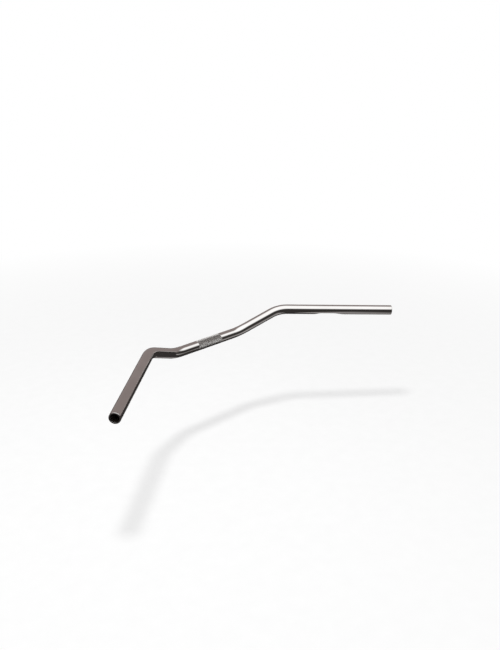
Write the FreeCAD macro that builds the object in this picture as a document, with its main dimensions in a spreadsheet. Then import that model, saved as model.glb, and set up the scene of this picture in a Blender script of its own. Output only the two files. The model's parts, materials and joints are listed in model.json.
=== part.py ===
import FreeCAD, Part
import math
import os
import Sketcher

# Sizes of the bar in millimetres and degrees: alias, value, meaning
SIZES = [
    ("tube_diameter", 25.4, "outside diameter of the tube"),
    ("wall", 3, "wall thickness"),
    ("bend_radius", 88.9, "radius of every bend, to the middle of the tube"),
    ("centre_run", 169, "straight length between the two inner bends"),
    ("inner_bend", 30, "turn of the bend beside the straight middle"),
    ("roll_back", 42, "lean of the inner bend behind straight up"),
    ("rise_run", 77, "straight length between inner and outer bend"),
    ("bend_twist", 95, "turn of the bend plane from inner to outer bend"),
    ("outer_bend", 30, "turn of the bend that points the grip backward"),
    ("control_run", 70.5, "straight length from the outer bend to the dimple"),
    ("inboard_ramp", 23, "length of the dimple's slope on the bend side"),
    ("dimple_floor", 28, "length of the dimple's even floor"),
    ("outboard_ramp", 37, "length of the dimple's slope on the grip side"),
    ("grip_run", 126, "straight length that carries the grip"),
    ("dimple_depth", 4.5, "depth of the pressed valley"),
    ("dimple_turn", 20, "turn of the dimple around the grip, from the outer bend's inside"),
    ("dimple_tip", 8, "half angle of the dimple's outline at its two ends"),
    ("valley_radius", 10, "hollow radius across the dimple"),
    ("inner_shoulder", 1.6, "radius of the dimple's shoulders inside the bore"),
    ("knurl_length", 76, "length of the knurled band in the middle"),
    ("knurl_raise", 0.2, "height of the knurled band above the tube"),
    ("end_chamfer", 0.5, "broken edges at both mouths"),
]
SIZE = {alias: value for alias, value, _ in SIZES}

# Radii that several sections share
OUTSIDE = "sizes.tube_diameter / 2"
BORE = "sizes.tube_diameter / 2 - sizes.wall"
KNURL = "sizes.tube_diameter / 2 + sizes.knurl_raise"

# A slope of the dimple eases in and out: share of its length, share of the full depth
SLOPE = ((0.25, 0.156), (0.5, 0.5), (0.75, 0.844))


def make_sheet(doc):
    sheet = doc.addObject("Spreadsheet::Sheet", "sizes")
    for row, (alias, value, meaning) in enumerate(SIZES, start=1):
        sheet.set(f"A{row}", meaning)
        sheet.set(f"B{row}", str(value))
        sheet.setAlias(f"B{row}", alias)
    doc.recompute()


# Steps from one section of the tube to the next; a section's own z runs along the tube
def along(length):
    return f"placement(vector(0; 0; {length}); rotation(vector(0; 0; 1); 0))"


def twist(angle):
    return f"placement(vector(0; 0; 0); rotation(vector(0; 0; 1); {angle}))"


def around(angle):
    radius = "sizes.bend_radius"
    shift = f"vector({radius} * (1 - cos({angle})); 0; {radius} * sin({angle}))"
    return f"placement({shift}; rotation(vector(0; 1; 0); {angle}))"


def origin_plane(body, role):
    return next(f for f in body.Origin.OriginFeatures if f.Role == role)


def section(body, name, before, *steps):
    """An empty sketch across the tube, reached by steps from the section before it."""
    sketch = body.newObject("Sketcher::SketchObject", name)
    sketch.AttachmentSupport = [(origin_plane(body, "YZ_Plane"), "")]
    sketch.MapMode = "FlatFace"
    start = [f"{before.Name}.AttachmentOffset"] if before else []
    sketch.setExpression("AttachmentOffset", " * ".join(start + list(steps)))
    return sketch


def tie(sketch, kind, *where):
    return sketch.addConstraint(Sketcher.Constraint(kind, *where))


def drive(sketch, name, expression, kind, *where):
    """A driving dimension, bound to the sheet."""
    index = tie(sketch, kind, *where, float(sketch.evalExpression(expression)))
    sketch.renameConstraint(index, name)
    sketch.setExpression(f"Constraints.{name}", expression)


def circle(sketch, name, radius):
    size = float(sketch.evalExpression(radius))
    index = sketch.addGeometry(Part.Circle(FreeCAD.Vector(), FreeCAD.Vector(0, 0, 1), size), False)
    tie(sketch, "Coincident", index, 3, -1, 1)
    drive(sketch, name, radius, "Radius", index)


def ring(sketch, outside=OUTSIDE):
    circle(sketch, "outside", outside)
    circle(sketch, "bore", BORE)


def bend_axis(sketch):
    """The line that a bend turns about, across the section's own x."""
    radius, half = SIZE["bend_radius"], SIZE["tube_diameter"] / 2
    ends = FreeCAD.Vector(radius, -half), FreeCAD.Vector(radius, half)
    line = sketch.addGeometry(Part.LineSegment(*ends), True)
    tie(sketch, "Symmetric", line, 1, line, 2, -1)
    drive(sketch, "bend_radius", "sizes.bend_radius", "DistanceX", -1, 1, line, 1)
    drive(sketch, "axis_length", "sizes.tube_diameter", "DistanceY", line, 1, line, 2)


def arc(sketch, x, y, radius, start, end):
    whole = Part.Circle(FreeCAD.Vector(x, y, 0), FreeCAD.Vector(0, 0, 1), radius)
    return sketch.addGeometry(Part.ArcOfCircle(whole, start, end), False)


def back_arcs(sketch, name, radius, lean):
    """The round back of a section, two arcs from the angle lean to its mirror image."""
    size = float(sketch.evalExpression(radius))
    upper = arc(sketch, 0, 0, size, lean, math.pi)
    lower = arc(sketch, 0, 0, size, math.pi, 2 * math.pi - lean)
    tie(sketch, "Coincident", upper, 3, -1, 1)
    tie(sketch, "Coincident", lower, 3, -1, 1)
    tie(sketch, "Coincident", upper, 2, lower, 1)
    tie(sketch, "PointOnObject", upper, 2, -1)
    drive(sketch, name + "_radius", radius, "Radius", upper)
    return upper, lower


def kidney(sketch, name, outside, shoulder, valley, reach):
    """A round pressed in at +x: back, shoulder, hollow valley and shoulder, each tangent to the next.

    reach is the distance from the middle of the tube to the middle of the valley's arc.
    """
    given = outside, shoulder, valley, reach
    big, small, hollow, far = (float(sketch.evalExpression(e)) for e in given)
    x = ((big - small) ** 2 + far ** 2 - (small + hollow) ** 2) / (2 * far)
    y = math.sqrt((big - small) ** 2 - x ** 2)
    lean = math.atan2(y, x)
    spread = math.atan2(y, far - x)
    upper, lower = back_arcs(sketch, name, outside, lean)
    low = arc(sketch, x, -y, small, -lean, spread)
    floor = arc(sketch, far, 0, hollow, math.pi - spread, math.pi + spread)
    high = arc(sketch, x, y, small, -spread, lean)
    tie(sketch, "PointOnObject", floor, 3, -1)
    tie(sketch, "Equal", low, high)
    tie(sketch, "Tangent", lower, 2, low, 1)
    tie(sketch, "Tangent", low, 2, floor, 2)
    tie(sketch, "Tangent", floor, 1, high, 1)
    tie(sketch, "Tangent", high, 2, upper, 1)
    drive(sketch, name + "_shoulder", shoulder, "Radius", low)
    drive(sketch, name + "_valley", valley, "Radius", floor)
    drive(sketch, name + "_reach", reach, "DistanceX", -1, 1, floor, 3)


def split_round(sketch, name, radius):
    """A full round in the same five arcs as a kidney, for the two ends of the dimple."""
    size = float(sketch.evalExpression(radius))
    tip = math.radians(SIZE["dimple_tip"])
    upper, lower = back_arcs(sketch, name, radius, tip)
    low = arc(sketch, 0, 0, size, -tip, -tip / 2)
    floor = arc(sketch, 0, 0, size, -tip / 2, tip / 2)
    high = arc(sketch, 0, 0, size, tip / 2, tip)
    tie(sketch, "Coincident", low, 3, -1, 1)
    tie(sketch, "Coincident", floor, 3, -1, 1)
    for first, second in ((lower, low), (low, floor), (floor, high), (high, upper)):
        tie(sketch, "Coincident", first, 2, second, 1)
    tie(sketch, "Equal", floor, high)
    tie(sketch, "Vertical", upper, 1, lower, 2)
    tie(sketch, "Vertical", floor, 1, floor, 2)
    drive(sketch, name + "_tip", f"({radius}) * sin(sizes.dimple_tip)", "DistanceY", -1, 1, upper, 1)
    drive(sketch, name + "_floor", f"({radius}) * sin(sizes.dimple_tip / 2)", "DistanceY", -1, 1, floor, 2)


def split_ring(sketch):
    split_round(sketch, "outside", OUTSIDE)
    split_round(sketch, "bore", BORE)


def pressed_ring(sketch, share):
    """The ring with its valley at a share of the full depth; the wall keeps its thickness."""
    reach = f"{OUTSIDE} + sizes.valley_radius - {share} * sizes.dimple_depth"
    kidney(sketch, "outside", OUTSIDE, "sizes.inner_shoulder + sizes.wall", "sizes.valley_radius", reach)
    kidney(sketch, "bore", BORE, "sizes.inner_shoulder", "sizes.valley_radius + sizes.wall", reach)


def add_run(body, name, sketch, length):
    pad = body.newObject("PartDesign::Pad", name)
    pad.Profile = sketch
    pad.setExpression("Length", length)
    return pad


def add_bend(body, name, sketch, angle):
    bend = body.newObject("PartDesign::Revolution", name)
    bend.Profile = sketch
    bend.ReferenceAxis = (sketch, ["Axis0"])
    bend.setExpression("Angle", angle)
    return bend


def add_dimple(body, start):
    """A loft from the round start section through pressed sections and back to the round."""
    floor_end = "sizes.inboard_ramp + sizes.dimple_floor"
    split_ring(start)
    stations = [(f"{place} * sizes.inboard_ramp", share) for place, share in SLOPE]
    stations.append(("sizes.inboard_ramp", 1))
    stations.append(("sizes.inboard_ramp + sizes.dimple_floor / 2", 1))
    stations.append((floor_end, 1))
    for place, share in reversed(SLOPE):
        stations.append((f"{floor_end} + {1 - place} * sizes.outboard_ramp", share))
    sections = []
    for number, (place, share) in enumerate(stations, start=1):
        sketch = section(body, f"pressed_section_{number}", start, along(place))
        pressed_ring(sketch, share)
        sections.append(sketch)
    end = section(body, "dimple_end", start, along(f"{floor_end} + sizes.outboard_ramp"))
    split_ring(end)
    loft = body.newObject("PartDesign::AdditiveLoft", "dimple")
    loft.Profile = start
    loft.Sections = sections + [end]
    return loft, end


def add_centre(doc, body):
    """The straight middle with its knurled band; returns the section it starts from."""
    centre = section(body, "centre_section", None, along("-sizes.centre_run / 2"))
    ring(centre)
    add_run(body, "centre", centre, "sizes.centre_run")
    knurl = section(body, "knurl_section", None, along("-sizes.knurl_length / 2"))
    ring(knurl, KNURL)
    add_run(body, "knurl_band", knurl, "sizes.knurl_length")
    doc.recompute()
    return centre


def add_right_half(doc, body, centre):
    """Inner bend, rise, outer bend and grip of the right side, in the order of bending."""
    inner = section(body, "inner_section", centre, along("sizes.centre_run"), twist("90 + sizes.roll_back"))
    ring(inner)
    bend_axis(inner)
    features = [add_bend(body, "inner_bend", inner, "sizes.inner_bend")]
    rise = section(body, "rise_section", inner, around("sizes.inner_bend"))
    ring(rise)
    features.append(add_run(body, "rise", rise, "sizes.rise_run"))
    outer = section(body, "outer_section", rise, along("sizes.rise_run"), twist("sizes.bend_twist"))
    ring(outer)
    bend_axis(outer)
    features.append(add_bend(body, "outer_bend", outer, "sizes.outer_bend"))
    control = section(body, "control_section", outer, around("sizes.outer_bend"))
    ring(control)
    features.append(add_run(body, "control", control, "sizes.control_run"))
    doc.recompute()
    start = section(body, "dimple_start", control, along("sizes.control_run"), twist("sizes.dimple_turn"))
    dimple, dimple_end = add_dimple(body, start)
    features.append(dimple)
    grip = section(body, "grip_section", dimple_end, along("0"))
    ring(grip)
    features.append(add_run(body, "grip", grip, "sizes.grip_run"))
    doc.recompute()
    return features


def add_left_half(doc, body, features):
    mirrored = body.newObject("PartDesign::Mirrored", "left_half")
    mirrored.Originals = features
    mirrored.MirrorPlane = (origin_plane(body, "YZ_Plane"), [""])
    body.Tip = mirrored
    doc.recompute()
    return mirrored


def mouth_edges(shape):
    """Names of the rims of the two mouths, the flat faces farthest from the middle."""
    flats = [f for f in shape.Faces if isinstance(f.Surface, Part.Plane)]
    flats.sort(key=lambda f: abs(f.CenterOfMass.x))
    rims = [edge for face in flats[-2:] for edge in face.Edges]
    numbered = enumerate(shape.Edges, start=1)
    return [f"Edge{n}" for n, edge in numbered if any(edge.isSame(rim) for rim in rims)]


def break_mouths(doc, body, base):
    chamfer = body.newObject("PartDesign::Chamfer", "mouth_chamfers")
    chamfer.Base = (base, mouth_edges(base.Shape))
    chamfer.setExpression("Size", "sizes.end_chamfer")
    body.Tip = chamfer
    doc.recompute()


def check(doc, body):
    for item in doc.Objects:
        if "Invalid" in item.State or "Error" in item.State:
            raise RuntimeError(f"{item.Name} did not build: {item.getStatusString()}")
    shape = body.Shape
    if shape.isNull() or not shape.isValid() or len(shape.Solids) != 1:
        raise RuntimeError("the bar is not one sound solid")


def main():
    doc = FreeCAD.newDocument("drag_bar")
    make_sheet(doc)
    body = doc.addObject("PartDesign::Body", "drag_bar")
    body.Label = "drag_bar"
    body.Placement = FreeCAD.Placement()
    doc.recompute()
    centre = add_centre(doc, body)
    right_half = add_right_half(doc, body, centre)
    left_half = add_left_half(doc, body, right_half)
    break_mouths(doc, body, left_half)
    check(doc, body)
    os.makedirs("parts", exist_ok=True)
    body.Shape.exportStep(f"parts/{body.Label}.step")


main()
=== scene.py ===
import json
import math

import bmesh
import bpy
from mathutils import Matrix, Vector


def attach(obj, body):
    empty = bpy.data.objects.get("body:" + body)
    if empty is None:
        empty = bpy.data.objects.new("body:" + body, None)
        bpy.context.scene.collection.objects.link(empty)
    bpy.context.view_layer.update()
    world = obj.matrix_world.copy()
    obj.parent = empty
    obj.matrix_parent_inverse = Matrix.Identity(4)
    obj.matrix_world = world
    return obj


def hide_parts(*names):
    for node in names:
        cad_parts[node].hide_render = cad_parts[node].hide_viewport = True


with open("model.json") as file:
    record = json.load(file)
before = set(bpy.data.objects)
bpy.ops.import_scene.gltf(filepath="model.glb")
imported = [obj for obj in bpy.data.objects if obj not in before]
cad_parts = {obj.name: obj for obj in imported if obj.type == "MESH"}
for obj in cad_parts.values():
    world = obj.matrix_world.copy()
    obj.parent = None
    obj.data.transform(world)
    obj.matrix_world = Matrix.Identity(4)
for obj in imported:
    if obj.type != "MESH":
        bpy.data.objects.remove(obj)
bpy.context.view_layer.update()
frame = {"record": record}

MM = 0.001
MOUNTS = {mount["name"]: mount for mount in frame["record"]["mounts"]}


def mount_size(name, key):
    return MOUNTS[name]["dims"][key] * MM


# Sizes of the tube, read from the frame
TUBE_RADIUS = mount_size("right_grip_seat", "r_mm")
BORE_RADIUS = mount_size("right_bar_end", "r_mm")
KNURL_RADIUS = mount_size("clamp_seat", "r_mm")
KNURL_HALF = mount_size("clamp_seat", "length_mm") / 2
WALL = TUBE_RADIUS - BORE_RADIUS

# The bend table of one half, from the middle of the bar to its mouth
BEND_RADIUS = 88.9 * MM
CENTRE_HALF = 84.5 * MM
ROLL_BACK = math.radians(42)
INNER_BEND = math.radians(30)
RISE_RUN = 77 * MM
BEND_TWIST = math.radians(95)
OUTER_BEND = math.radians(30)
CONTROL_RUN = 70.5 * MM
GRIP_RUN = 126 * MM

# The pressed dimple for the wires
DIMPLE_TURN = math.radians(20)
DIMPLE_DEPTH = 4.5 * MM
INBOARD_RAMP = 23 * MM
DIMPLE_FLOOR = 28 * MM
OUTBOARD_RAMP = 37 * MM
VALLEY_RADIUS = 10 * MM
INNER_SHOULDER = 1.6 * MM

# Finer forms: rolled knurl, rounded mouth, depth that the plating reaches into the bore
KNURL_DEPTH = 0.45 * MM
MOUTH_ROUND = 1.2 * MM
BORE_ROUND = 0.4 * MM
EDGE_LOOP = 0.12 * MM
PLATED_BORE = 2 * MM

# Mesh steps, and the material numbers of the three finishes
SIDES = 160
BEND_STEPS = 24
RUN_STEP = 40 * MM
DIMPLE_STEP = 1.0 * MM
BORE_COARSENESS = 4
ROUND_STEPS = 5
KNURL_PITCH = 2 * math.pi * KNURL_RADIUS / SIDES
CHROME, KNURLED, BARE = range(3)

# Plating: haze in its colour, smears in its gloss, ripple and hairlines in its surface
HAZE = {"scale": 14, "detail": 4}
HAZE_RANGE = (0.3, 0.72)
HAZE_COLOURS = ((0.62, 0.605, 0.59), (0.69, 0.68, 0.67))
SMEAR = {"scale": 55, "detail": 6, "stretch": (1, 2.4, 2.4)}
SMEAR_RANGE = (0.35, 0.75)
SMEAR_ROUGHNESS = (0.025, 0.085)
RIPPLE = {"scale": 90, "detail": 2}
RIPPLE_BUMP = {"strength": 0.06, "distance": 0.05 * MM}
HAIRLINE = {"scale": 2600, "detail": 3}
HAIRLINE_BUMP = {"strength": 0.06, "distance": 0.02 * MM}

# Knurl: from its grooves to its peaks; the grooves' darker colour is painted shade
# painted shade: the first colour darkens the bottoms of the grooves
GROOVE_SHADE_RANGE = (0.1, 0.75)
GROOVE_SHADE_TO_PEAK_COLOURS = ((0.4, 0.385, 0.37), (0.72, 0.71, 0.7))
PEAK_ROUGHNESS = (0.45, 0.14)
WEAR = {"scale": 1800, "detail": 3}
WEAR_BUMP = {"strength": 0.15, "distance": 0.04 * MM}

# Bore: mill scale with blooms of rust
BARE_METALLIC = 0.7
BLOOM = {"scale": 160, "detail": 6}
BLOOM_RANGE = (0.42, 0.7)
BLOOM_COLOURS = ((0.05, 0.047, 0.045), (0.13, 0.095, 0.07))
SCALE_RANGE = (0.3, 0.7)
SCALE_ROUGHNESS = (0.5, 0.8)
PITTING = {"scale": 900, "detail": 5}
PITTING_BUMP = {"strength": 0.4, "distance": 0.15 * MM}

# The photograph's frame and the camera that fits the bar's outline in it
IMAGE_WIDTH, IMAGE_HEIGHT = 500, 650
FOCAL_PIXELS = 782.5
VIEW_AZIMUTH = math.radians(-44.657)
VIEW_ELEVATION = math.radians(20.447)
ORIGIN_PIXEL = (207.27, 341.63)
ORIGIN_DEPTH = 1.9942
PIXEL_MIDDLE = 0.5
SENSOR = 36.0

# Floor below the held bar; it glows more the further it is from the bar
FLOOR_LEVEL = -0.25
FLOOR_HALF = 12.0
FLOOR_FADE = (0.5, 2.0)
FLOOR_GLOW = (0.6, 1.0)
PAPER = {"scale": 30, "detail": 3}
PAPER_RANGE = (0.3, 0.7)
PAPER_COLOURS = ((0.86, 0.86, 0.86), (0.9, 0.9, 0.9))

# Light tent that the plating reflects; its edges are ranges of a direction's height or frontness
TENT_RADIUS = 3.2
TENT_SEGMENTS = 72
TENT_BANDS = 36
TENT_HEM = 0.7
TENT_TILT = math.radians(7.4)
TENT_FRONT = math.radians(25)
TENT_SIDES = (-0.04, 0.21)
TENT_BACK_EDGE = (0.33, 0.63)
TENT_FRONT_EDGE = (0.9, 0.985)
TENT_STRENGTH = 1.5
TENT_WHITE = (1.0, 1.0, 1.0)
TENT_GREY = (0.222, 0.188, 0.182)
TENT_DARK = (0.03, 0.027, 0.026)

# Cards inside the tent: dark cloth, two pale cards above it, upright flag with corners as height and Y
CLOTH_LEVEL = FLOOR_LEVEL + 0.01
CARD_LEVEL = FLOOR_LEVEL + 0.02
FILL_PALE = (0.37, 0.353, 0.348)
FILL_LOW, FILL_HIGH = (0.25, -0.61), (0.6, -0.1)
FILL_SLANT = (-0.6, 1, 0)
FILL_FADE = (-0.8, -0.25)
FILL_TURN = math.radians(-9.5)
RIM_PALE = (0.2, 0.19, 0.186)
RIM_LOW, RIM_HIGH = (-0.06, 0.045), (0.06, 0.17)
FLAG_PLACE = 2.9
FLAG_LOW, FLAG_HIGH = (FLOOR_LEVEL, -1.5), (-0.03, 0.14)

# Lamp for the shadow, and the world's even light
KEY_PLACE = (-0.6, -0.3, 2.6)
KEY_SIZE = 0.5
KEY_POWER = 60.0
WORLD_FILL = 0.5

# A section's own axes at the middle of the bar: its z runs along the bar's X
SECTION_AXES = Matrix(((0, 0, 1, 0), (1, 0, 0, 0), (0, 1, 0, 0), (0, 0, 0, 1)))


# Path of the tube
class TubePath:
    """Walks along the middle of the tube and keeps a station at each step.

    A station is its place, the turn of its own x axis around the tube, and its share
    of the dimple's depth.
    """

    def __init__(self, start):
        self.place = SECTION_AXES @ Matrix.Translation((0, 0, start))
        self.turn = 0.0
        self.stations = [(self.place, self.turn, 0.0)]

    def twist(self, angle):
        self.place = self.place @ Matrix.Rotation(angle, 4, "Z")
        self.turn += angle

    def keep(self, step, share=0.0):
        self.stations.append((self.place @ step, self.turn, share))

    def run(self, length, step, share=0.0, end_share=None):
        """A straight length; the dimple's share eases from share to end_share along it."""
        end_share = share if end_share is None else end_share
        steps = max(1, round(length / step))
        for number in range(1, steps + 1):
            part = number / steps
            eased = part * part * (3 - 2 * part)
            self.keep(Matrix.Translation((0, 0, length * part)), share + (end_share - share) * eased)
        self.place = self.stations[-1][0]

    def bend(self, angle, steps):
        for number in range(1, steps + 1):
            part = angle * number / steps
            shift = Vector((BEND_RADIUS * (1 - math.cos(part)), 0, BEND_RADIUS * math.sin(part)))
            self.keep(Matrix.Translation(shift) @ Matrix.Rotation(part, 4, "Y"))
        self.place = self.stations[-1][0]


def walk_half(start, coarse):
    """Stations from a place on the straight middle to the start of the mouth's rounding."""
    path = TubePath(start)
    path.run(CENTRE_HALF - start, RUN_STEP * coarse)
    path.twist(math.pi / 2 + ROLL_BACK)
    path.bend(INNER_BEND, BEND_STEPS // coarse)
    path.run(RISE_RUN, RUN_STEP * coarse)
    path.twist(BEND_TWIST)
    path.bend(OUTER_BEND, BEND_STEPS // coarse)
    path.run(CONTROL_RUN, RUN_STEP * coarse)
    path.twist(DIMPLE_TURN)
    path.run(INBOARD_RAMP, DIMPLE_STEP * coarse, 0.0, 1.0)
    path.run(DIMPLE_FLOOR, DIMPLE_STEP * coarse, 1.0)
    path.run(OUTBOARD_RAMP, DIMPLE_STEP * coarse, 1.0, 0.0)
    path.run(GRIP_RUN - MOUTH_ROUND - EDGE_LOOP, RUN_STEP * coarse)
    return path.stations


def shifted(station, distance):
    """The same section, moved along the tube."""
    place, turn, share = station
    return place @ Matrix.Translation((0, 0, distance)), turn, share


# Sections across the tube
def pressed_radius(angle, radius, shoulder, valley, depth):
    """Distance from the middle to the wall of a round that is pressed in at angle 0."""
    if depth <= 0:
        return radius
    reach = radius + valley - depth
    inset = radius - shoulder
    x = (inset ** 2 + reach ** 2 - (shoulder + valley) ** 2) / (2 * reach)
    y = math.sqrt(max(inset ** 2 - x ** 2, 0))
    away = abs(math.remainder(angle, 2 * math.pi))
    if away >= math.atan2(y, x):
        return radius
    spread_angle = math.atan2(y, reach - x)
    meet = math.atan2(valley * math.sin(spread_angle), reach - valley * math.cos(spread_angle))
    if away <= meet:
        return reach * math.cos(away) - math.sqrt(valley ** 2 - (reach * math.sin(away)) ** 2)
    along = x * math.cos(away) + y * math.sin(away)
    return along + math.sqrt(max(shoulder ** 2 - x ** 2 - y ** 2 + along ** 2, 0))


def ring(station, radius_at):
    """The points of one section, numbered by an angle that doesn't turn with the bends."""
    place, turn, _ = station
    points = []
    for number in range(SIDES):
        angle = 2 * math.pi * number / SIDES - turn
        radius = radius_at(angle, number)
        points.append(place @ Vector((radius * math.cos(angle), radius * math.sin(angle), 0)))
    return points


def outer_ring(station):
    depth = station[2] * DIMPLE_DEPTH
    shoulder = INNER_SHOULDER + WALL
    return ring(station, lambda a, _: pressed_radius(a, TUBE_RADIUS, shoulder, VALLEY_RADIUS, depth))


def bore_ring(station):
    depth = station[2] * DIMPLE_DEPTH
    valley = VALLEY_RADIUS + WALL
    return ring(station, lambda a, _: pressed_radius(a, BORE_RADIUS, INNER_SHOULDER, valley, depth))


def plain_ring(station, radius):
    return ring(station, lambda _angle, _number: radius)


def knurl_ring(station, row):
    """Every second point is a peak, and the next row is offset by one point."""
    return ring(station, lambda _, number: KNURL_RADIUS - KNURL_DEPTH * ((number + row) % 2))


def knurl_rings():
    """Crossed grooves from the middle to the end of the band, closed by an even ring."""
    middle = TubePath(0.0).stations[0]
    count = int(KNURL_HALF / KNURL_PITCH)
    rings = [knurl_ring(shifted(middle, row * KNURL_PITCH), row) for row in range(count)]
    rings.append(plain_ring(shifted(middle, count * KNURL_PITCH), KNURL_RADIUS - KNURL_DEPTH / 2))
    return rings


def quarter_round(size):
    """Pairs of distances from the two lines that a rounded corner joins."""
    angles = [math.pi / 2 * number / ROUND_STEPS for number in range(ROUND_STEPS + 1)]
    return [(size * (1 - math.cos(angle)), size * (1 - math.sin(angle))) for angle in angles]


def mouth_rings(station):
    """Rounded outer edge, flat end and rounded bore edge of the mouth."""
    end = MOUTH_ROUND + EDGE_LOOP
    profile = [(TUBE_RADIUS - across, end - along) for across, along in quarter_round(MOUTH_ROUND)]
    profile.append((TUBE_RADIUS - MOUTH_ROUND - EDGE_LOOP, end))
    profile.append((BORE_RADIUS + BORE_ROUND + EDGE_LOOP, end))
    profile += [(BORE_RADIUS + across, end - along) for along, across in quarter_round(BORE_ROUND)]
    return [plain_ring(shifted(station, distance), radius) for radius, distance in profile]


def half_rings():
    """All sections of the right half with their finish.

    They run outside from the middle to the mouth, and back inside to the middle.
    """
    outside = walk_half(KNURL_HALF, 1)
    outside.insert(1, shifted(outside[0], EDGE_LOOP))
    inside = walk_half(0.0, BORE_COARSENESS)
    plated = shifted(inside[-1], MOUTH_ROUND + EDGE_LOOP - PLATED_BORE)
    rings = [(points, KNURLED) for points in knurl_rings()]
    rings += [(outer_ring(station), CHROME) for station in outside]
    rings += [(points, CHROME) for points in mouth_rings(outside[-1])]
    rings += [(bore_ring(inside[-1]), CHROME), (bore_ring(plated), BARE)]
    rings += [(bore_ring(station), BARE) for station in reversed(inside[:-1])]
    return rings


# The bar's mesh
def bar_points(rings):
    """Points of both halves, which share their middle sections, and the number of each point."""
    last = len(rings) - 1
    points, index = [], {}
    for side in (1, -1):
        for row, (section, _) in enumerate(rings):
            shared = row in (0, last) and side < 0
            for number, point in enumerate(section):
                if shared:
                    index[side, row, number] = index[1, row, number]
                    continue
                index[side, row, number] = len(points)
                points.append((side * point.x, point.y, point.z))
    return points, index


def knurl_faces(corners, row, number):
    """Two flat faces of a diamond, parted along the groove."""
    a, b, c, d = corners
    if (row + number) % 2:
        return [(a, b, c), (a, c, d)]
    return [(a, b, d), (b, c, d)]


def bar_faces(rings, index):
    """Faces between neighbouring sections of both halves, with the finish of each."""
    faces, finishes = [], []
    for side in (1, -1):
        for row, (_, finish) in enumerate(rings[:-1]):
            for number in range(SIDES):
                after = (number + 1) % SIDES
                places = ((row, number), (row, after), (row + 1, after), (row + 1, number))
                corners = tuple(index[(side, *place)] for place in places)
                made = knurl_faces(corners, row, number) if finish == KNURLED else [corners]
                faces += made
                finishes += [finish] * len(made)
    return faces, finishes


def turn_faces_outward(mesh):
    work = bmesh.new()
    work.from_mesh(mesh)
    bmesh.ops.recalc_face_normals(work, faces=work.faces)
    work.to_mesh(mesh)
    work.free()


def make_bar():
    rings = half_rings()
    points, index = bar_points(rings)
    faces, finishes = bar_faces(rings, index)
    mesh = bpy.data.meshes.new("drag_bar_skin")
    mesh.from_pydata(points, [], faces)
    mesh.polygons.foreach_set("material_index", finishes)
    mesh.polygons.foreach_set("use_smooth", [finish != KNURLED for finish in finishes])
    turn_faces_outward(mesh)
    return bpy.data.objects.new("drag_bar_skin", mesh)


# Node helpers
def new_material(name):
    material = bpy.data.materials.new(name)
    material.use_nodes = True
    nodes, links = material.node_tree.nodes, material.node_tree.links
    nodes.clear()
    output = nodes.new("ShaderNodeOutputMaterial")
    return material, nodes, links, output


def new_metal(name, metallic):
    material, nodes, links, output = new_material(name)
    shader = nodes.new("ShaderNodeBsdfPrincipled")
    shader.inputs["Metallic"].default_value = metallic
    links.new(shader.outputs["BSDF"], output.inputs["Surface"])
    return material, nodes, links, shader.inputs


def object_point(nodes):
    return nodes.new("ShaderNodeTexCoord").outputs["Object"]


def noise(nodes, links, scale, detail, stretch=(1, 1, 1)):
    mapping = nodes.new("ShaderNodeMapping")
    mapping.inputs["Scale"].default_value = stretch
    links.new(object_point(nodes), mapping.inputs["Vector"])
    texture = nodes.new("ShaderNodeTexNoise")
    texture.inputs["Scale"].default_value = scale
    texture.inputs["Detail"].default_value = detail
    links.new(mapping.outputs["Vector"], texture.inputs["Vector"])
    return texture.outputs["Fac"]


def vector_math(nodes, links, operation, vector):
    made = nodes.new("ShaderNodeVectorMath")
    made.operation = operation
    links.new(vector, made.inputs[0])
    return made


def ramp(nodes, links, value, low, high, low_colour, high_colour):
    made = nodes.new("ShaderNodeValToRGB")
    made.color_ramp.elements[0].position = low
    made.color_ramp.elements[0].color = (*low_colour, 1)
    made.color_ramp.elements[1].position = high
    made.color_ramp.elements[1].color = (*high_colour, 1)
    links.new(value, made.inputs["Fac"])
    return made.outputs["Color"]


def spread(nodes, links, value, low, high, new_low, new_high):
    made = nodes.new("ShaderNodeMapRange")
    made.inputs["From Min"].default_value = low
    made.inputs["From Max"].default_value = high
    made.inputs["To Min"].default_value = new_low
    made.inputs["To Max"].default_value = new_high
    links.new(value, made.inputs["Value"])
    return made.outputs["Result"]


def bump(nodes, links, height, strength, distance, under=None):
    made = nodes.new("ShaderNodeBump")
    made.inputs["Strength"].default_value = strength
    made.inputs["Distance"].default_value = distance
    links.new(height, made.inputs["Height"])
    if under:
        links.new(under, made.inputs["Normal"])
    return made.outputs["Normal"]


# Finishes
def chrome():
    """Bright plate: polishing haze, faint ripple of the buffed tube and fine hairlines."""
    material, nodes, links, inputs = new_metal("polished_chrome", 1.0)
    haze = noise(nodes, links, **HAZE)
    links.new(ramp(nodes, links, haze, *HAZE_RANGE, *HAZE_COLOURS), inputs["Base Color"])
    smear = noise(nodes, links, **SMEAR)
    links.new(spread(nodes, links, smear, *SMEAR_RANGE, *SMEAR_ROUGHNESS), inputs["Roughness"])
    ripple = bump(nodes, links, noise(nodes, links, **RIPPLE), **RIPPLE_BUMP)
    hairline = bump(nodes, links, noise(nodes, links, **HAIRLINE), **HAIRLINE_BUMP, under=ripple)
    links.new(hairline, inputs["Normal"])
    return material


def radius_from_x_axis(nodes, links):
    """Distance of a point from the x axis, which is the tube's own axis along its straight middle."""
    split = nodes.new("ShaderNodeSeparateXYZ")
    links.new(object_point(nodes), split.inputs["Vector"])
    join = nodes.new("ShaderNodeCombineXYZ")
    links.new(split.outputs["Y"], join.inputs["Y"])
    links.new(split.outputs["Z"], join.inputs["Z"])
    return vector_math(nodes, links, "LENGTH", join.outputs["Vector"]).outputs["Value"]


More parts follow.
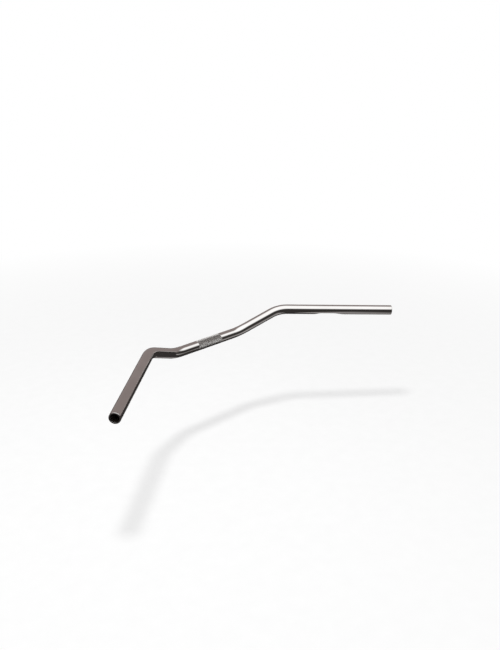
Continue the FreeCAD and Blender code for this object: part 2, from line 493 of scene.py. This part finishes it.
def knurled_chrome():
    """Plate over the knurl: glossy peaks, duller grooves, and a base colour darkened into the grooves as
    painted shade.
    """
    material, nodes, links, inputs = new_metal("knurled_chrome", 1.0)
    radius = radius_from_x_axis(nodes, links)
    peak = spread(nodes, links, radius, KNURL_RADIUS - KNURL_DEPTH, KNURL_RADIUS, 0, 1)
    # painted shade: the base colour darkens from the peaks toward the bottom of the grooves
    links.new(ramp(nodes, links, peak, *GROOVE_SHADE_RANGE, *GROOVE_SHADE_TO_PEAK_COLOURS), inputs["Base Color"])
    links.new(spread(nodes, links, peak, 0, 1, *PEAK_ROUGHNESS), inputs["Roughness"])
    links.new(bump(nodes, links, noise(nodes, links, **WEAR), **WEAR_BUMP), inputs["Normal"])
    return material


def bare_steel():
    """Unplated inside of the tube: dark mill scale with brown blooms."""
    material, nodes, links, inputs = new_metal("bare_bore_steel", BARE_METALLIC)
    bloom = noise(nodes, links, **BLOOM)
    links.new(ramp(nodes, links, bloom, *BLOOM_RANGE, *BLOOM_COLOURS), inputs["Base Color"])
    links.new(spread(nodes, links, bloom, *SCALE_RANGE, *SCALE_ROUGHNESS), inputs["Roughness"])
    links.new(bump(nodes, links, noise(nodes, links, **PITTING), **PITTING_BUMP), inputs["Normal"])
    return material


# World and floor
def seen_directly(nodes, links):
    """1 for what the camera sees straight, in metal or through glass."""
    path = nodes.new("ShaderNodeLightPath")
    value = path.outputs["Is Camera Ray"]
    for name in ("Is Glossy Ray", "Is Transmission Ray"):
        larger = nodes.new("ShaderNodeMath")
        larger.operation = "MAXIMUM"
        links.new(value, larger.inputs[0])
        links.new(path.outputs[name], larger.inputs[1])
        value = larger.outputs["Value"]
    return value


def make_world():
    """White where it is seen directly, and an even fill light for the rest."""
    world = bpy.data.worlds.new("white_studio")
    bpy.context.scene.world = world
    world.use_nodes = True
    nodes, links = world.node_tree.nodes, world.node_tree.links
    nodes.clear()
    fill = nodes.new("ShaderNodeBackground")
    fill.inputs["Strength"].default_value = WORLD_FILL
    white = nodes.new("ShaderNodeBackground")
    white.inputs["Color"].default_value = (1, 1, 1, 1)
    mix = nodes.new("ShaderNodeMixShader")
    links.new(seen_directly(nodes, links), mix.inputs["Fac"])
    links.new(fill.outputs["Background"], mix.inputs[1])
    links.new(white.outputs["Background"], mix.inputs[2])
    output = nodes.new("ShaderNodeOutputWorld")
    links.new(mix.outputs["Shader"], output.inputs["Surface"])


def floor_material():
    """Pale floor that takes the bar's shadow near it and fades into the white surround further off."""
    material, nodes, links, output = new_material("pale_floor")
    distance = vector_math(nodes, links, "LENGTH", object_point(nodes))
    fade = spread(nodes, links, distance.outputs["Value"], *FLOOR_FADE, *FLOOR_GLOW)
    share = nodes.new("ShaderNodeMath")
    share.operation = "MULTIPLY"
    links.new(fade, share.inputs[0])
    links.new(seen_directly(nodes, links), share.inputs[1])
    paper = nodes.new("ShaderNodeBsdfDiffuse")
    grain = noise(nodes, links, **PAPER)
    links.new(ramp(nodes, links, grain, *PAPER_RANGE, *PAPER_COLOURS), paper.inputs["Color"])
    white = nodes.new("ShaderNodeEmission")
    mix = nodes.new("ShaderNodeMixShader")
    links.new(share.outputs["Value"], mix.inputs["Fac"])
    links.new(paper.outputs["BSDF"], mix.inputs[1])
    links.new(white.outputs["Emission"], mix.inputs[2])
    links.new(mix.outputs["Shader"], output.inputs["Surface"])
    return material


def level_sheet(name, low, high, level, material):
    """A flat sheet between two corners, at one level."""
    mesh = bpy.data.meshes.new(name)
    corners = [(low[0], low[1], 0), (high[0], low[1], 0), (high[0], high[1], 0), (low[0], high[1], 0)]
    mesh.from_pydata(corners, [], [(0, 1, 2, 3)])
    mesh.materials.append(material)
    sheet = bpy.data.objects.new(name, mesh)
    sheet.location.z = level
    return sheet


def make_floor():
    floor = level_sheet("floor", (-FLOOR_HALF,) * 2, (FLOOR_HALF,) * 2, FLOOR_LEVEL, floor_material())
    bpy.context.scene.collection.objects.link(floor)


# Light tent and cards
def add_card(card):
    """Leaves a card to the plating alone: it neither shows itself nor lights or shades the floor."""
    card.visible_camera = False
    card.visible_diffuse = False
    card.visible_shadow = False
    bpy.context.scene.collection.objects.link(card)


def direction_parts(nodes, links):
    """Height and frontness of the direction from the bar to a point of the tent."""
    direction = vector_math(nodes, links, "NORMALIZE", object_point(nodes)).outputs["Vector"]
    split = nodes.new("ShaderNodeSeparateXYZ")
    links.new(direction, split.inputs["Vector"])
    facing = vector_math(nodes, links, "DOT_PRODUCT", direction)
    facing.inputs[1].default_value = (math.sin(TENT_FRONT), math.cos(TENT_FRONT), 0)
    return split.outputs["Z"], facing.outputs["Value"]


def tent_material():
    """White overhead, a grey wall before the bar and a dark one behind it, with soft edges."""
    material, nodes, links, output = new_material("light_tent")
    height, facing = direction_parts(nodes, links)
    mix = nodes.new("ShaderNodeMix")
    mix.data_type = "RGBA"
    links.new(spread(nodes, links, facing, *TENT_SIDES, 0, 1), mix.inputs["Factor"])
    links.new(ramp(nodes, links, height, *TENT_BACK_EDGE, TENT_DARK, TENT_WHITE), mix.inputs["A"])
    links.new(ramp(nodes, links, height, *TENT_FRONT_EDGE, TENT_GREY, TENT_WHITE), mix.inputs["B"])
    light = nodes.new("ShaderNodeEmission")
    light.inputs["Strength"].default_value = TENT_STRENGTH
    links.new(mix.outputs["Result"], light.inputs["Color"])
    links.new(light.outputs["Emission"], output.inputs["Surface"])
    return material


def card_material(name, colour):
    """Plain light in one colour."""
    material, nodes, links, output = new_material(name)
    light = nodes.new("ShaderNodeEmission")
    light.inputs["Strength"].default_value = TENT_STRENGTH
    light.inputs["Color"].default_value = (*colour, 1)
    links.new(light.outputs["Emission"], output.inputs["Surface"])
    return material


def fill_material():
    """Light that is pale in the corner nearest to the bar's middle and dark in the opposite one."""
    material, nodes, links, output = new_material("fill_card")
    slant = vector_math(nodes, links, "DOT_PRODUCT", object_point(nodes))
    slant.inputs[1].default_value = FILL_SLANT
    share = spread(nodes, links, slant.outputs["Value"], *FILL_FADE, 0, 1)
    light = nodes.new("ShaderNodeEmission")
    light.inputs["Strength"].default_value = TENT_STRENGTH
    links.new(ramp(nodes, links, share, 0, 1, TENT_DARK, FILL_PALE), light.inputs["Color"])
    links.new(light.outputs["Emission"], output.inputs["Surface"])
    return material


def make_tent():
    """A dome around the bar, open below the floor."""
    work = bmesh.new()
    bmesh.ops.create_uvsphere(work, u_segments=TENT_SEGMENTS, v_segments=TENT_BANDS, radius=TENT_RADIUS)
    below = [vertex for vertex in work.verts if vertex.co.z < FLOOR_LEVEL - TENT_HEM]
    bmesh.ops.delete(work, geom=below, context="VERTS")
    dome = bpy.data.meshes.new("light_tent")
    work.to_mesh(dome)
    work.free()
    dome.materials.append(tent_material())
    tent = bpy.data.objects.new("light_tent", dome)
    tent.rotation_euler.y = TENT_TILT
    add_card(tent)


def make_cards():
    """Cloth over the floor, fill card for the right half, rim card and flag for the left rise."""
    cloth = card_material("dark_cloth", TENT_DARK)
    add_card(level_sheet("dark_cloth", (-TENT_RADIUS,) * 2, (TENT_RADIUS,) * 2, CLOTH_LEVEL, cloth))
    fill = level_sheet("fill_card", FILL_LOW, FILL_HIGH, CARD_LEVEL, fill_material())
    fill.rotation_euler.z = FILL_TURN
    add_card(fill)
    rim = card_material("rim_card", RIM_PALE)
    add_card(level_sheet("rim_card", RIM_LOW, RIM_HIGH, CARD_LEVEL, rim))
    flag = level_sheet("dark_flag", FLAG_LOW, FLAG_HIGH, 0, cloth)
    flag.rotation_euler.y = -math.pi / 2
    flag.location.x = FLAG_PLACE
    add_card(flag)


# Lamp and camera
def make_key_lamp():
    """A soft lamp above the bar that draws its shadow on the floor; the plating shows the tent instead."""
    data = bpy.data.lights.new("key_lamp", "AREA")
    data.shape = "DISK"
    data.size = KEY_SIZE
    data.energy = KEY_POWER
    lamp = bpy.data.objects.new("key_lamp", data)
    lamp.location = KEY_PLACE
    lamp.rotation_euler = Vector(KEY_PLACE).to_track_quat("Z", "Y").to_euler()
    lamp.visible_camera = False
    lamp.visible_glossy = False
    bpy.context.scene.collection.objects.link(lamp)


def make_camera():
    """The camera whose view of the origin falls on its pixel of the photograph."""
    sight = Vector((-math.sin(VIEW_AZIMUTH) * math.cos(VIEW_ELEVATION),
                    math.cos(VIEW_AZIMUTH) * math.cos(VIEW_ELEVATION),
                    -math.sin(VIEW_ELEVATION)))
    right = sight.cross(Vector((0, 0, 1))).normalized()
    up = right.cross(sight)
    across = (ORIGIN_PIXEL[0] + PIXEL_MIDDLE - IMAGE_WIDTH / 2) / FOCAL_PIXELS * ORIGIN_DEPTH
    down = (ORIGIN_PIXEL[1] + PIXEL_MIDDLE - IMAGE_HEIGHT / 2) / FOCAL_PIXELS * ORIGIN_DEPTH
    data = bpy.data.cameras.new("camera")
    data.sensor_width = SENSOR
    data.lens = FOCAL_PIXELS * SENSOR / IMAGE_HEIGHT
    camera = bpy.data.objects.new("camera", data)
    axes = Matrix((right, up, -sight)).transposed().to_4x4()
    camera.matrix_world = Matrix.Translation(up * down - right * across - sight * ORIGIN_DEPTH) @ axes
    bpy.context.scene.collection.objects.link(camera)
    bpy.context.scene.camera = camera


def dress_bar():
    bar = make_bar()
    for material in (chrome(), knurled_chrome(), bare_steel()):
        bar.data.materials.append(material)
    bpy.context.scene.collection.objects.link(bar)
    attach(bar, "root")
    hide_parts("drag_bar")


bpy.context.scene.view_settings.view_transform = "Standard"
dress_bar()
make_floor()
make_tent()
make_cards()
make_key_lamp()
make_world()
make_camera()
